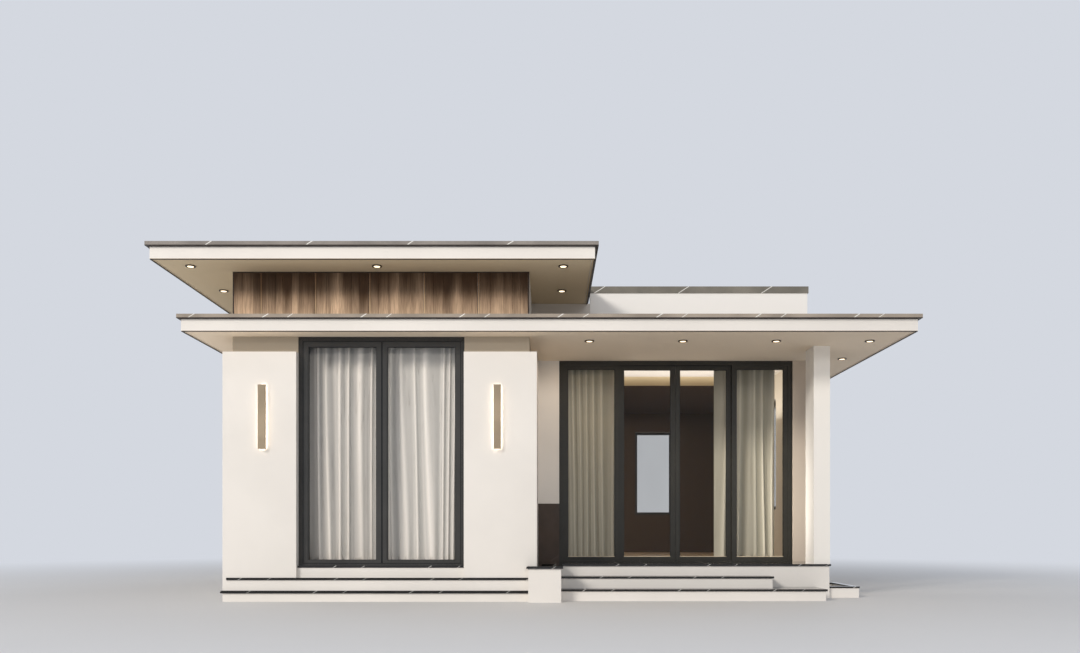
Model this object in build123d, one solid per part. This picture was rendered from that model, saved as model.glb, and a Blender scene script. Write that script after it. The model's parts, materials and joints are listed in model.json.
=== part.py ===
from build123d import *
import os

# Bungalow with a bedroom block, a porch and two flat roofs, in millimetres.
# X runs to the right, Y to the back and Z up. The ground is Z = 0, and the
# origin is the middle of the main body's footprint.

# Body in plan
BODY_DEPTH = 7000.0
BLOCK_PROJECTION = 1867.0
WALL = 200.0

# Wall beside the tall window and beside the door, from left to right
WINDOW_PIER_LEFT = 958.0
WINDOW_PIER_RIGHT = 949.0
DOOR_PIER_LEFT = 461.0
DOOR_PIER_RIGHT = 245.0

# Levels
FLOOR_LEVEL = 520.0
CEILING_LEVEL = 3865.0
SLAB = 170.0
CAP = 60.0
CLERESTORY = 720.0
PAVING = 30.0

# Render panels and dark bands round the bedroom block
PANEL = 110.0
PANEL_TOP = 3626.0
APRON = 40.0
APRON_LEDGE = 314.0
BAND_UPPER = (314.0, 347.0)
BAND_LOWER = (123.0, 160.0)
BAND_UPPER_PROUD = 18.0
BAND_LOWER_PROUD = 27.0
BAND_INSET = 58.0

# Tall window of the bedroom block
WINDOW_WIDTH = 2430.0
WINDOW_SETBACK = 20.0
WINDOW_DEPTH = 120.0
WINDOW_BORDER = 56.0
WINDOW_FOOT = 25.0
WINDOW_STILE = 85.0
WINDOW_TOP_RAIL = 88.0
WINDOW_FOOT_RAIL = 56.0
SASH_DEPTH = 60.0
SASH_SETBACK = 22.0
SASH_MEETING = 4.0
SILL_PROUD = 50.0
SILL_DRIP = 8.0
SILL_DRIP_INSET = 12.0

# Four-leaf glass door, with a fixed leaf at each side and two that slide
DOOR_WIDTH = 3892.0
DOOR_SETBACK = 20.0
DOOR_DEPTH = 150.0
DOOR_BORDER = 68.0
DOOR_THRESHOLD = 20.0
TRACK_DEPTH = 20.0
TRACK_FOOT = 10.0
TRACK_LIP = 15.0
LEAF_DEPTH = 45.0
LEAF_STILE = 81.0
LEAF_TOP_RAIL = 72.0
LEAF_FOOT_RAIL = 54.0
LEAF_LAP = 30.0
RUN_GAP = 6.0
MEETING_GAP = 5.0
MID_LIP = 3.0
ROLLER_RADIUS = 18.0
ROLLER_WIDTH = 12.0
ROLLER_INSET = 160.0
SEAT_GAP = 0.3

# Glazing
GLASS = 12.0
GLASS_BITE = 10.0
BEAD = 14.0
BEAD_STEP = 9.0

# Ridges on the outer face of the tall frames
RIDGE = 7.0
RIDGE_DEPTH = 6.0
RIDGE_INSETS = (12.0, 30.0)

# Windows of the sides and the back
SIDE_WINDOW_WIDTH = 900.0
SIDE_WINDOW_HEIGHT = 2000.0
SIDE_WINDOW_SILL = 1420.0
SIDE_WINDOW_BORDER = 60.0
SIDE_WINDOW_DEPTH = 100.0
SIDE_WINDOW_SETBACK = 40.0
SIDE_SILL_PROUD = 30.0
LEFT_WINDOWS = 3
RIGHT_WINDOWS = 2
REAR_WINDOWS = 3
REAR_WINDOW_PITCH = 2700.0

# Porch, steps and column
PORCH_DEPTH = 1247.0
NOSING = 20.0
NOSING_ROUND = 6.0
STEP_COUNT = 3
STEP_GOING = 300.0
LOWER_STEP_FROM_SIDE = 255.0
UPPER_STEP_FROM_SIDE = 964.0
COLUMN_WIDTH = 250.0
COLUMN_DEPTH = 440.0
COLUMN_SETBACK = 31.0

# Planter at the block's corner and bed at the right
PLANTER_WIDTH = 350.0
PLANTER_TOE = 121.0
PLANTER_FRONT = 2158.0
PLANTER_WALL = 60.0
PLANTER_BASE = 100.0
PLANTER_RIM = 35.0
RIM_PROUD = 27.0
RIM_INNER = 12.0
BED_WIDTH = 458.0
BED_LENGTH = 1172.0
BED_HEIGHT = 173.0
BED_WALL = 80.0
BED_COPING = 25.0
BED_COPING_PROUD = 10.0

# Dark dado beside the door
DADO_HEIGHT = 962.0
DADO = 20.0

# Roofs: overhangs beyond the body, measured to the white fascia
LOWER_LEFT = 595.0
LOWER_RIGHT = 920.0
LOWER_FRONT = 397.0
UPPER_LEFT = 935.0
UPPER_RIGHT = 926.0
UPPER_FRONT = 640.0
ROOF_REAR = 600.0
DRIP = 12.0
DRIP_INSET = 35.0
CAP_PROUD = 50.0
CAP_WIDTH = 450.0
CAP_JOINT = 3.0
PARAPET_RISE = 5.0
COPING = 110.0
COPING_PROUD = 15.0

# Wood cladding of the clerestory
CLADDING = 25.0
CLADDING_FIRST = 415.0
CLADDING_PITCH = 795.0
CLADDING_JOINT = 8.0

# Lamps
LAMP_WIDTH = 107.0
LAMP_HEIGHT = 927.0
LAMP_BODY = 60.0
LAMP_ROUND = 5.0
LAMP_STANDOFF = 20.0
LAMP_FOOT = 2212.0
LAMP_LEFT_FROM_WINDOW = 481.0
LAMP_RIGHT_FROM_WINDOW = 489.0
LAMP_BACK_INSET = 24.0
LIGHT_DIAMETER = 140.0
LIGHT_LENS = 96.0
LIGHT_PROUD = 14.0
LIGHT_RECESS = 4.0
LOWER_LIGHT_PITCH = 1395.0
LOWER_LIGHT_INSET = 442.5
LOWER_LIGHT_SETBACK = 674.0
SIDE_LIGHT_INSET = 404.5
UPPER_LIGHT_PITCH = 1335.0
UPPER_LIGHT_INSET = 435.0
UPPER_LIGHT_SETBACK = 345.0

# Curtains
CURTAIN = 80.0
CURTAIN_FROM_WALL = 60.0
CURTAIN_FOOT = 15.0
CURTAIN_GAP = 30.0
DOOR_CURTAIN = 1035.0
DOOR_CURTAIN_FROM_SIDE = 228.0
RAIL_HEIGHT = 25.0
RAIL_DEPTH = 30.0

# Places worked out from the sizes above
BLOCK_WIDTH = WINDOW_PIER_LEFT + WINDOW_WIDTH + WINDOW_PIER_RIGHT
BODY_WIDTH = BLOCK_WIDTH + DOOR_PIER_LEFT + DOOR_WIDTH + DOOR_PIER_RIGHT
BODY_LEFT = -BODY_WIDTH / 2
BODY_RIGHT = BODY_WIDTH / 2
DOOR_PLANE = -BODY_DEPTH / 2
REAR = BODY_DEPTH / 2
BLOCK_FRONT = DOOR_PLANE - BLOCK_PROJECTION
BLOCK_RIGHT = BODY_LEFT + BLOCK_WIDTH
PANEL_FACE = BLOCK_FRONT - PANEL
BASE_TOP = FLOOR_LEVEL - PAVING
WALL_SPAN = (BASE_TOP, CEILING_LEVEL)
SLAB_TOP = CEILING_LEVEL + SLAB
CAP_TOP = SLAB_TOP + CAP
UPPER_SOFFIT = CAP_TOP + CLERESTORY
UPPER_TOP = UPPER_SOFFIT + SLAB
PARAPET_TOP = UPPER_TOP + PARAPET_RISE
WINDOW_SPAN = (BODY_LEFT + WINDOW_PIER_LEFT, BLOCK_RIGHT - WINDOW_PIER_RIGHT)
DOOR_SPAN = (BLOCK_RIGHT + DOOR_PIER_LEFT, BODY_RIGHT - DOOR_PIER_RIGHT)
DOOR_MIDDLE = sum(DOOR_SPAN) / 2
PORCH_FRONT = DOOR_PLANE - PORCH_DEPTH
PORCH_LEFT = BLOCK_RIGHT + PANEL
STEPS_LEFT = PORCH_LEFT + PLANTER_WIDTH
PLANTER_LEFT = PORCH_LEFT - PLANTER_TOE
RISER = FLOOR_LEVEL / STEP_COUNT
INNER_LEFT = BODY_LEFT + WALL
INNER_RIGHT = BODY_RIGHT - WALL
INNER_REAR = REAR - WALL
LOWER_ROOF = (BODY_LEFT - LOWER_LEFT, BODY_RIGHT + LOWER_RIGHT)
LOWER_ROOF_DEPTH = (BLOCK_FRONT - LOWER_FRONT, REAR + ROOF_REAR)
UPPER_ROOF = (BODY_LEFT - UPPER_LEFT, BLOCK_RIGHT + UPPER_RIGHT)
UPPER_ROOF_DEPTH = (BLOCK_FRONT - UPPER_FRONT, REAR + ROOF_REAR)


def block(x, y, z):
    """Rectangular block between the low and high values of each axis."""
    sizes = [high - low for low, high in (x, y, z)]
    middle = [(high + low) / 2 for low, high in (x, y, z)]
    return Pos(*middle) * Box(*sizes)


def save(name, *solids):
    """Write one node, with its solids side by side."""
    shapes = [solid for piece in solids for solid in piece.solids()]
    shape = shapes[0] if len(shapes) == 1 else Compound(shapes)
    export_step(shape, f"parts/{name}.step")


def grown(span, amount):
    """Span made longer by the amount at each end."""
    return (span[0] - amount, span[1] + amount)


def mirrored(span, middle):
    """Span reflected about a middle value."""
    return (2 * middle - span[1], 2 * middle - span[0])


def evenly(low, high, count):
    """Middles of equal bays between two ends."""
    bay = (high - low) / count
    return [low + bay * (number + 0.5) for number in range(count)]


def glazed_leaf(x, z, front, depth, stiles, rails):
    """Leaf with a stepped bead round its pane, and the pane in its groove."""
    left, right = stiles
    foot, head = rails
    hole_x = (x[0] + left, x[1] - right)
    hole_z = (z[0] + foot, z[1] - head)
    y = (front, front + depth)
    middle = front + depth / 2
    leaf = block(x, y, z) - block(hole_x, grown(y, 1.0), hole_z)
    for face in ((front, front + BEAD_STEP), (front + depth - BEAD_STEP, front + depth)):
        leaf -= block(grown(hole_x, BEAD), face, grown(hole_z, BEAD))
    pane = block(
        grown(hole_x, GLASS_BITE),
        (middle - GLASS / 2, middle + GLASS / 2),
        grown(hole_z, GLASS_BITE),
    )
    return leaf - pane, pane


def ridged(frame, x, z, front):
    """Frame with grooves that run round its outer face between even ridges."""
    for inset in RIDGE_INSETS:
        outer = (grown(x, -inset), grown(z, -inset))
        inner = (grown(outer[0], -RIDGE), grown(outer[1], -RIDGE))
        y = (front - 1, front + RIDGE_DEPTH)
        frame -= block(outer[0], y, outer[1]) - block(inner[0], grown(y, 1), inner[1])
    return frame


def sill(x, y, z):
    """Sill with a drip groove below its front edge."""
    groove_y = (y[0] + SILL_DRIP_INSET, y[0] + SILL_DRIP_INSET + SILL_DRIP)
    return block(x, y, z) - block(grown(x, 1), groove_y, (z[0] - 1, z[0] + SILL_DRIP / 2))


def side_window():
    """Window unit centred on X, its outer face on Y = 0 and its foot on Z = 0."""
    x = (-SIDE_WINDOW_WIDTH / 2, SIDE_WINDOW_WIDTH / 2)
    border = SIDE_WINDOW_BORDER
    frame, pane = glazed_leaf(
        x, (0, SIDE_WINDOW_HEIGHT), 0, SIDE_WINDOW_DEPTH, (border, border), (border, border)
    )
    return frame, pane


def side_window_places():
    """Place of each window's middle on the outer wall face, with its turn and outer skin."""
    left = [(BODY_LEFT, y, -90, PANEL) for y in evenly(BLOCK_FRONT, REAR, LEFT_WINDOWS)]
    right = [(BODY_RIGHT, y, 90, 0) for y in evenly(DOOR_PLANE, REAR, RIGHT_WINDOWS)]
    reach = REAR_WINDOWS * REAR_WINDOW_PITCH / 2
    rear = [(x, REAR, 180, 0) for x in evenly(-reach, reach, REAR_WINDOWS)]
    return left, right, rear


def window_bay(place, z):
    """Block over the width of one side window, through its wall and skin."""
    x, y, turn, skin = place
    half = SIDE_WINDOW_WIDTH / 2
    bay = block((-half, half), (-skin - 1, WALL + 1), z)
    return Pos(x, y) * Rot(0, 0, turn) * bay


def built_up(wall, places):
    """Wall of piers, with a breast below and a lintel above each side window."""
    fillings = []
    hole_z = (SIDE_WINDOW_SILL, SIDE_WINDOW_SILL + SIDE_WINDOW_HEIGHT)
    for place in places:
        bay = window_bay(place, (0, CEILING_LEVEL))
        fillings.append((wall & bay) - window_bay(place, hole_z))
        wall -= bay
    return wall, *fillings


# Plinth and floors
def make_base():
    save("plinth_main", block((BODY_LEFT, BODY_RIGHT), (DOOR_PLANE, REAR), (0, BASE_TOP)))
    save("plinth_block", block((BODY_LEFT, BLOCK_RIGHT), (BLOCK_FRONT, DOOR_PLANE), (0, BASE_TOP)))
    tiles = (BASE_TOP, FLOOR_LEVEL)
    joint = DOOR_PLANE + WALL
    save(
        "floor_tiles",
        block((INNER_LEFT, INNER_RIGHT), (joint, INNER_REAR), tiles),
        block((INNER_LEFT, BLOCK_RIGHT - WALL), (BLOCK_FRONT + WALL, joint - CAP_JOINT), tiles),
    )


# Walls of the ground storey
def make_walls():
    front = (BLOCK_FRONT, BLOCK_FRONT + WALL)
    save(
        "block_front_piers",
        block((BODY_LEFT, WINDOW_SPAN[0]), front, WALL_SPAN),
        block((WINDOW_SPAN[1], BLOCK_RIGHT), front, WALL_SPAN),
    )
    side = (BLOCK_RIGHT - WALL, BLOCK_RIGHT)
    save("block_side_wall", block(side, (front[1], DOOR_PLANE + WALL), WALL_SPAN))
    door_wall = (DOOR_PLANE, DOOR_PLANE + WALL)
    save(
        "door_piers",
        block((BLOCK_RIGHT, DOOR_SPAN[0]), door_wall, WALL_SPAN),
        block((DOOR_SPAN[1], BODY_RIGHT), door_wall, WALL_SPAN),
    )
    left, right, rear = side_window_places()
    left_wall = block((BODY_LEFT, INNER_LEFT), (front[1], REAR), WALL_SPAN)
    right_wall = block((INNER_RIGHT, BODY_RIGHT), (door_wall[1], INNER_REAR), WALL_SPAN)
    rear_wall = block((INNER_LEFT, BODY_RIGHT), (INNER_REAR, REAR), WALL_SPAN)
    save("left_wall", *built_up(left_wall, left))
    save("right_wall", *built_up(right_wall, right))
    save("rear_wall", *built_up(rear_wall, rear))
    save(
        "door_dado",
        block(
            (PORCH_LEFT, DOOR_SPAN[0]),
            (DOOR_PLANE - DADO, DOOR_PLANE),
            (FLOOR_LEVEL, FLOOR_LEVEL + DADO_HEIGHT),
        ),
    )


# Thick render panels, apron and bands of the bedroom block
def make_panels():
    height = (0, PANEL_TOP)
    face = (PANEL_FACE, BLOCK_FRONT)
    outer_left = BODY_LEFT - PANEL
    save(
        "front_panels",
        block((outer_left, WINDOW_SPAN[0]), face, height),
        block((WINDOW_SPAN[1], PORCH_LEFT), face, height),
    )
    left, _, _ = side_window_places()
    left_panel = block((outer_left, BODY_LEFT), (BLOCK_FRONT, REAR), height)
    right_panel = block((BLOCK_RIGHT, PORCH_LEFT), (BLOCK_FRONT, DOOR_PLANE), height)
    save("side_panels", *built_up(left_panel, left), right_panel)
    apron = block(WINDOW_SPAN, face, (0, APRON_LEDGE))
    apron += block(WINDOW_SPAN, (BLOCK_FRONT - APRON, BLOCK_FRONT), (0, BASE_TOP))
    save("window_apron", apron)
    upper = block(
        (outer_left + BAND_INSET, PORCH_LEFT - BAND_INSET),
        (PANEL_FACE - BAND_UPPER_PROUD, PANEL_FACE),
        BAND_UPPER,
    )
    reach = outer_left - BAND_LOWER_PROUD
    lower = block(
        (reach, PLANTER_LEFT), (PANEL_FACE - BAND_LOWER_PROUD, PANEL_FACE), BAND_LOWER
    )
    lower += block((reach, outer_left), (PANEL_FACE, REAR), BAND_LOWER)
    save("base_bands", upper - planter_outline(APRON_LEDGE, BAND_UPPER[1]), lower)


# Tall window with two sashes
def make_window():
    x = WINDOW_SPAN
    z = (FLOOR_LEVEL, CEILING_LEVEL)
    front = BLOCK_FRONT + WINDOW_SETBACK
    border = WINDOW_BORDER
    clear_x = grown(x, -border)
    clear_z = (z[0] + WINDOW_FOOT, z[1] - border)
    y = (front, front + WINDOW_DEPTH)
    frame = block(x, y, z) - block(clear_x, grown(y, 1.0), clear_z)
    step = (front, front + BEAD_STEP)
    frame -= block(grown(clear_x, BEAD), step, grown(clear_z, BEAD))
    save("window_frame", ridged(frame, x, z, front))
    middle = sum(x) / 2
    sash_front = front + SASH_SETBACK
    stiles = (WINDOW_STILE, WINDOW_STILE - SASH_MEETING / 2)
    rails = (WINDOW_FOOT_RAIL, WINDOW_TOP_RAIL)
    left_x = (clear_x[0], middle - SASH_MEETING / 2)
    left, left_pane = glazed_leaf(left_x, clear_z, sash_front, SASH_DEPTH, stiles, rails)
    right_x = mirrored(left_x, middle)
    right, right_pane = glazed_leaf(
        right_x, clear_z, sash_front, SASH_DEPTH, stiles[::-1], rails
    )
    save("window_sashes", left, right)
    save("window_glass", left_pane, right_pane)


# Glass door: frame with two tracks, fixed outer leaves and sliding inner leaves
def make_door():
    x = DOOR_SPAN
    z = (FLOOR_LEVEL, CEILING_LEVEL)
    front = DOOR_PLANE + DOOR_SETBACK
    y = (front, front + DOOR_DEPTH)
    fixed_front = front + TRACK_LIP
    fixed_track = (fixed_front, fixed_front + LEAF_DEPTH)
    slide_front = fixed_track[1] + MID_LIP + MEETING_GAP
    slide_track = (fixed_track[1] + MID_LIP, slide_front + LEAF_DEPTH + MEETING_GAP)
    clear_x = grown(x, -DOOR_BORDER)
    clear_z = (z[0] + DOOR_THRESHOLD, z[1] - DOOR_BORDER)
    track_x = grown(clear_x, TRACK_DEPTH)
    track_z = (z[0] + TRACK_FOOT, clear_z[1] + TRACK_DEPTH)
    frame = block(x, y, z) - block(clear_x, grown(y, 1.0), clear_z)
    frame -= block(track_x, fixed_track, track_z)
    frame -= block(track_x, slide_track, track_z)
    save("door_frame", ridged(frame, x, z, front))

    leaf = (clear_x[1] - clear_x[0]) / 4
    foot = clear_z[0] + LEAF_FOOT_RAIL
    head = clear_z[1] - LEAF_TOP_RAIL
    fixed_x = (track_x[0], clear_x[0] + leaf)
    stiles = (LEAF_STILE + TRACK_DEPTH, LEAF_STILE)
    rails = (foot - track_z[0], track_z[1] - head)
    left, left_pane = glazed_leaf(fixed_x, track_z, fixed_front, LEAF_DEPTH, stiles, rails)
    right, right_pane = glazed_leaf(
        mirrored(fixed_x, DOOR_MIDDLE), track_z, fixed_front, LEAF_DEPTH, stiles[::-1], rails
    )
    save("door_fixed_leaves", left, right)
    save("door_fixed_glass", left_pane, right_pane)

    slide_x = (clear_x[0] + leaf - LEAF_LAP, DOOR_MIDDLE - MEETING_GAP / 2)
    slide_z = (track_z[0] + RUN_GAP, track_z[1] - RUN_GAP)
    stiles = (LEAF_STILE + LEAF_LAP, LEAF_STILE - MEETING_GAP / 2)
    rails = (foot - slide_z[0], slide_z[1] - head)
    roller_y = slide_front + LEAF_DEPTH / 2
    roller_z = track_z[0] + SEAT_GAP + ROLLER_RADIUS
    for side in ("left", "right"):
        leaf_x = slide_x if side == "left" else mirrored(slide_x, DOOR_MIDDLE)
        leaf_stiles = stiles if side == "left" else stiles[::-1]
        sliding, pane = glazed_leaf(leaf_x, slide_z, slide_front, LEAF_DEPTH, leaf_stiles, rails)
        for roller_x in (leaf_x[0] + ROLLER_INSET, leaf_x[1] - ROLLER_INSET):
            roller = Rot(90, 0, 0) * Cylinder(ROLLER_RADIUS, ROLLER_WIDTH)
            sliding += Pos(roller_x, roller_y, roller_z) * roller
        save(f"door_leaf_{side}", sliding)
        save(f"door_leaf_{side}_glass", pane)


# Windows of the sides and the back
def make_side_windows():
    frames, panes, sills = [], [], []
    for wall in side_window_places():
        for x, y, turn, skin in wall:
            place = Pos(x, y, SIDE_WINDOW_SILL) * Rot(0, 0, turn)
            frame, pane = side_window()
            seat = place * Pos(0, SIDE_WINDOW_SETBACK, 0)
            frames.append(seat * frame)
            panes.append(seat * pane)
            half = SIDE_WINDOW_WIDTH / 2
            sill_y = (-skin - SIDE_SILL_PROUD, SIDE_WINDOW_SETBACK)
            sills.append(place * sill((-half, half), sill_y, (0, PAVING)))
    save("side_window_frames", *frames)
    save("side_window_glass", *panes)
    return sills


# Stone sills below the window, the door and the side windows
def make_sills(side_sills):
    window_y = (BLOCK_FRONT - SILL_PROUD, BLOCK_FRONT + WALL)
    door_y = (DOOR_PLANE, DOOR_PLANE + WALL)
    level = (BASE_TOP, FLOOR_LEVEL)
    save("stone_sills", sill(WINDOW_SPAN, window_y, level), block(DOOR_SPAN, door_y, level), *side_sills)


def nosed(tread):
    """Tread with its front and right top edges rounded."""
    edges = tread.faces().sort_by(Axis.Z)[-1].edges()
    front = edges.sort_by(Axis.Y)[0]
    side = edges.sort_by(Axis.X)[-1]
    return fillet([front, side], NOSING_ROUND)


# Porch, steps and column
def make_porch():
    right = BODY_RIGHT - NOSING
    save("porch_base", block((PORCH_LEFT, right), (PORCH_FRONT, DOOR_PLANE), (0, BASE_TOP)))
    lower_x = (STEPS_LEFT, BODY_RIGHT - LOWER_STEP_FROM_SIDE)
    upper_x = (STEPS_LEFT, BODY_RIGHT - UPPER_STEP_FROM_SIDE)
    lower_y = (PORCH_FRONT - 2 * STEP_GOING, PORCH_FRONT)
    upper_y = (PORCH_FRONT - STEP_GOING, PORCH_FRONT)
    save(
        "steps",
        block(lower_x, lower_y, (0, RISER - PAVING)),
        block(upper_x, upper_y, (RISER, 2 * RISER - PAVING)),
    )
    treads = []
    for x, y, top in ((lower_x, lower_y, RISER), (upper_x, upper_y, 2 * RISER)):
        tread = block((x[0], x[1] + NOSING), (y[0] - NOSING, PORCH_FRONT), (top - PAVING, top))
        treads.append(nosed(tread))
    paving = block(
        (PORCH_LEFT, BODY_RIGHT), (PORCH_FRONT - NOSING, DOOR_PLANE), (BASE_TOP, FLOOR_LEVEL)
    )
    save("stone_treads", *treads, paving)
    column_y = PORCH_FRONT + COLUMN_SETBACK
    save(
        "porch_column",
        block(
            (BODY_RIGHT - COLUMN_WIDTH, BODY_RIGHT),
            (column_y, column_y + COLUMN_DEPTH),
            (FLOOR_LEVEL, CEILING_LEVEL),
        ),
    )


def planter_outline(low, high, proud=0.0):
    """Planter's outer form round the block's corner between two heights."""
    front = DOOR_PLANE - PLANTER_FRONT
    left = block((PLANTER_LEFT - proud, PORCH_LEFT), (front - proud, PANEL_FACE), (low, high))
    rear = PORCH_FRONT - (NOSING if proud else 0)
    right = block((PORCH_LEFT, STEPS_LEFT + proud), (front - proud, rear), (low, high))
    return left + right


# Planter and bed
def make_planters():
    top = FLOOR_LEVEL - PLANTER_RIM
    front = DOOR_PLANE - PLANTER_FRONT
    wall = PLANTER_WALL
    hollow_x = (PORCH_LEFT + wall, STEPS_LEFT - wall)
    hollow_y = (front + wall, PORCH_FRONT - wall)
    hollow = block(hollow_x, hollow_y, (PLANTER_BASE, FLOOR_LEVEL + 1))
    save("planter_box", planter_outline(0, top) - hollow)
    mouth = block(
        grown(hollow_x, -RIM_INNER), grown(hollow_y, -RIM_INNER), (top - 1, FLOOR_LEVEL + 1)
    )
    save("planter_rim", planter_outline(top, FLOOR_LEVEL, RIM_PROUD) - mouth)

    inner = BODY_RIGHT - NOSING
    outer = BODY_RIGHT + BED_WIDTH
    y = (DOOR_PLANE - BED_LENGTH, DOOR_PLANE - BED_COPING_PROUD)
    kerb_top = BED_HEIGHT - BED_COPING
    bed = block((inner, outer), y, (0, kerb_top))
    bed -= block((inner - 1, outer - BED_WALL), grown(y, -BED_WALL), (-1, kerb_top + 1))
    save("side_bed_kerb", bed)
    proud = BED_COPING_PROUD
    coping = block((inner, outer + proud), grown(y, proud), (kerb_top, BED_HEIGHT))
    reach = BED_WALL + proud
    coping -= block(
        (inner - 1, outer - reach), grown(y, -reach), (kerb_top - 1, BED_HEIGHT + 1)
    )
    save("side_bed_coping", coping)


def roof_slab(x, y, soffit):
    """Slab with a drip groove in its soffit, close to the edge all round."""
    slab = block(x, y, (soffit, soffit + SLAB))
    outer = (grown(x, -DRIP_INSET), grown(y, -DRIP_INSET))
    inner = (grown(outer[0], -DRIP), grown(outer[1], -DRIP))
    groove = block(*outer, (soffit - DRIP, soffit + DRIP))
    groove -= block(*inner, (soffit - DRIP, soffit + DRIP))
    return slab - groove


# Lower roof: slab over the whole plan and stone round the upper walls
def make_lower_roof():
    save("lower_roof_slab", roof_slab(LOWER_ROOF, LOWER_ROOF_DEPTH, CEILING_LEVEL))
    x = grown(LOWER_ROOF, CAP_PROUD)
    y = grown(LOWER_ROOF_DEPTH, CAP_PROUD)
    z = (SLAB_TOP, CAP_TOP)
    wall_front = BLOCK_FRONT + CLADDING
    middle_y = (wall_front + CAP_JOINT, REAR)
    save(
        "lower_roof_cap",
        block(x, (y[0], wall_front), z),
        block((x[0], BODY_LEFT), middle_y, z),
        block((BLOCK_RIGHT, BODY_RIGHT), (wall_front + CAP_JOINT, DOOR_PLANE), z),
        block((BODY_RIGHT + CAP_JOINT, x[1]), middle_y, z),
        block(x, (REAR + CAP_JOINT, y[1]), z),
    )
    deck = (SLAB_TOP, SLAB_TOP + PAVING)
    save(
        "roof_deck",
        block((BLOCK_RIGHT, INNER_RIGHT), (DOOR_PLANE + WALL, INNER_REAR), deck),
    )


# Upper roof over the bedroom side, with a stone edge round its top
def make_upper_roof():
    save("upper_roof_slab", roof_slab(UPPER_ROOF, UPPER_ROOF_DEPTH, UPPER_SOFFIT))
    x = grown(UPPER_ROOF, CAP_PROUD)
    y = grown(UPPER_ROOF_DEPTH, CAP_PROUD)
    z = (UPPER_TOP, UPPER_TOP + CAP)
    side_y = grown(y, -CAP_WIDTH - CAP_JOINT)
    save(
        "upper_roof_cap",
        block(x, (y[0], y[0] + CAP_WIDTH), z),
        block(x, (y[1] - CAP_WIDTH, y[1]), z),
        block((x[0], x[0] + CAP_WIDTH), side_y, z),
        block((x[1] - CAP_WIDTH, x[1]), side_y, z),
    )


# Walls of the clerestory box below the upper roof
def make_clerestory():
    z = (SLAB_TOP, UPPER_SOFFIT)
    front = BLOCK_FRONT + CLADDING
    front_y = (front, front + WALL)
    side_y = (front_y[1], INNER_REAR)
    save("clerestory_front", block((BODY_LEFT, BLOCK_RIGHT), front_y, z))
    save(
        "clerestory_sides",
        block((BODY_LEFT, INNER_LEFT), side_y, z),
        block((BLOCK_RIGHT - WALL, BLOCK_RIGHT), side_y, z),
    )
    save("clerestory_rear", block((BODY_LEFT, BLOCK_RIGHT), (INNER_REAR, REAR), z))
    panels = []
    edge = BODY_LEFT
    joint = BODY_LEFT + CLADDING_FIRST
    gap = CLADDING_JOINT / 2
    while edge < BLOCK_RIGHT:
        end = min(joint - gap, BLOCK_RIGHT)
        panels.append(block((edge, end), (BLOCK_FRONT, front), (CAP_TOP, UPPER_SOFFIT)))
        edge = joint + gap
        joint += CLADDING_PITCH
    save("wood_cladding", *panels)


def parapet_with_step(y):
    """Wall across the right part, lower where the upper roof lies over it."""
    high_from = UPPER_ROOF[1] + CAP_PROUD
    wall = block((BLOCK_RIGHT, high_from), y, (SLAB_TOP, UPPER_SOFFIT))
    return wall + block((high_from, BODY_RIGHT), y, (SLAB_TOP, PARAPET_TOP))


# Parapet round the roof of the right part, with its coping
def make_parapet():
    front_y = (DOOR_PLANE, DOOR_PLANE + WALL)
    rear_y = (INNER_REAR, REAR)
    save("parapet_front", parapet_with_step(front_y))
    save("parapet_rear", parapet_with_step(rear_y))
    save(
        "parapet_right",
        block((INNER_RIGHT, BODY_RIGHT), (front_y[1], rear_y[0]), (SLAB_TOP, PARAPET_TOP)),
    )
    z = (PARAPET_TOP, PARAPET_TOP + COPING)
    x = (UPPER_ROOF[1] + CAP_PROUD, BODY_RIGHT + COPING_PROUD)
    front_coping = grown(front_y, COPING_PROUD)
    rear_coping = grown(rear_y, COPING_PROUD)
    save(
        "parapet_coping",
        block(x, front_coping, z),
        block(x, rear_coping, z),
        block(
            grown((INNER_RIGHT, BODY_RIGHT), COPING_PROUD),
            (front_coping[1] + CAP_JOINT, rear_coping[0] - CAP_JOINT),
            z,
        ),
    )


def downlight(x, y, soffit):
    """Round trim with a sunk lens below a soffit."""
    trim = Cylinder(LIGHT_DIAMETER / 2, LIGHT_PROUD)
    trim -= Pos(0, 0, -LIGHT_PROUD / 2) * Cylinder(LIGHT_LENS / 2, 2 * LIGHT_RECESS)
    return Pos(x, y, soffit - LIGHT_PROUD / 2) * trim


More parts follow.
